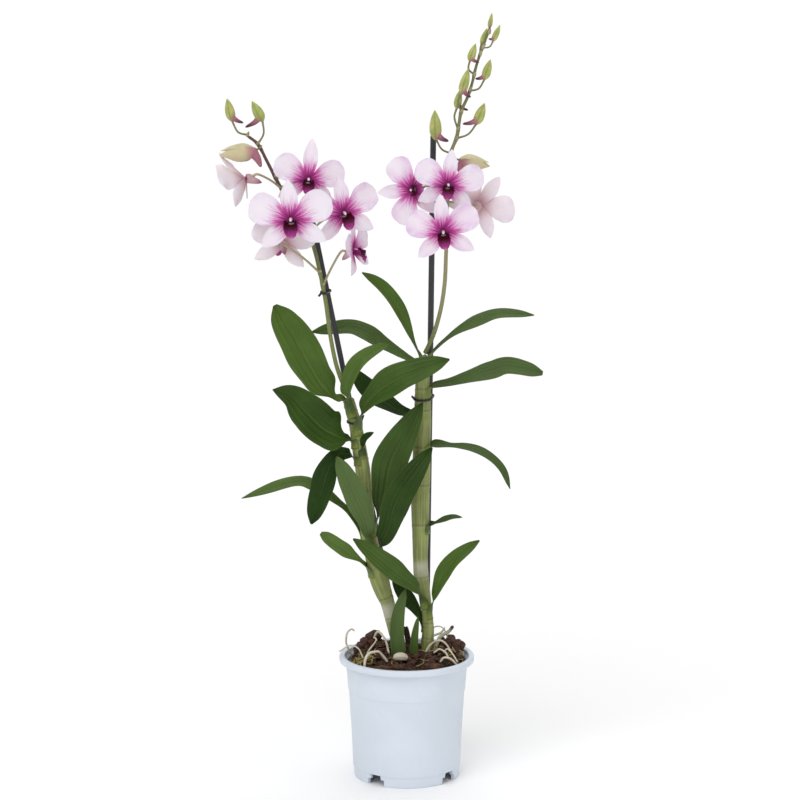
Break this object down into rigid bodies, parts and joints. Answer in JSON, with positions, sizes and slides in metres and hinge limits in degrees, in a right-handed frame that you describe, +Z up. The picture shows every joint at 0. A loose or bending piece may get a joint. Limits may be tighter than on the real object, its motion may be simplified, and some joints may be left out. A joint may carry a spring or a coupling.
{
  "type": "potted dendrobium orchid",
  "caption": "Flowering dendrobium orchid with staked leafy canes and white and magenta blooms, rooted in bark in a plain plastic nursery pot",
  "frame": {"origin": "on the ground under the middle of the whole plant's bounding box; the pot's axis stands 21.5 mm towards +X and 1 mm towards +Y from it", "axes": "+Z up, +X to the viewer's right, -Y towards the viewer of the front"},
  "size_m": [0.2831, 0.1219, 0.6781],
  "materials": {
    "pot_plastic": "pale bluish white moulded plastic, satin",
    "stake_plastic": "black plastic, slightly glossy",
    "bark": "damp bark chunks, dull",
    "cane": "smooth green stem tissue, faint sheen",
    "leaf": "waxy dark green leaf",
    "flower_stem": "olive green stem tissue",
    "tepal": "white petals flushed pink",
    "lip": "velvety dark magenta",
    "root": "pale dry aerial root"
  },
  "bodies": {
    "root": {"pot": "pot_plastic", "bark_mix": "bark", "cane_left": "cane", "cane_right": "cane", "stake_left": "stake_plastic", "stake_right": "stake_plastic", "bloom_left_1": "tepal", "bloom_left_1_lip": "lip", "bloom_left_2": "tepal", "bloom_left_2_lip": "lip", "bloom_left_3": "tepal", "bloom_left_3_lip": "lip", "bloom_left_4": "tepal", "bloom_left_4_lip": "lip", "bloom_left_5": "tepal", "bloom_left_5_lip": "lip", "bloom_left_6": "tepal", "bloom_left_6_lip": "lip", "bloom_right_1": "tepal", "bloom_right_1_lip": "lip", "bloom_right_2": "tepal", "bloom_right_2_lip": "lip", "bloom_right_3": "tepal", "bloom_right_3_lip": "lip", "bloom_right_4": "tepal", "bloom_right_4_lip": "lip", "flower_stem_left": "flower_stem", "flower_stem_right": "flower_stem", "leaf_left_01": "leaf", "leaf_left_02": "leaf", "leaf_left_03": "leaf", "leaf_left_04": "leaf", "leaf_left_05": "leaf", "leaf_left_06": "leaf", "leaf_left_07": "leaf", "leaf_left_08": "leaf", "leaf_left_09": "leaf", "leaf_left_10": "leaf", "leaf_left_11": "leaf", "leaf_right_01": "leaf", "leaf_right_02": "leaf", "leaf_right_03": "leaf", "leaf_right_04": "leaf", "leaf_right_05": "leaf", "leaf_right_06": "leaf", "leaf_right_07": "leaf", "leaf_right_08": "leaf", "leaf_right_09": "leaf", "leaf_right_10": "leaf", "root_arch": "root", "root_curl": "root", "root_right": "root", "root_strand": "root", "shoot_left": "leaf", "shoot_right": "leaf", "tie_left": "stake_plastic", "tie_right": "stake_plastic", "tie_stem": "stake_plastic"}
  },
  "joints": []
}
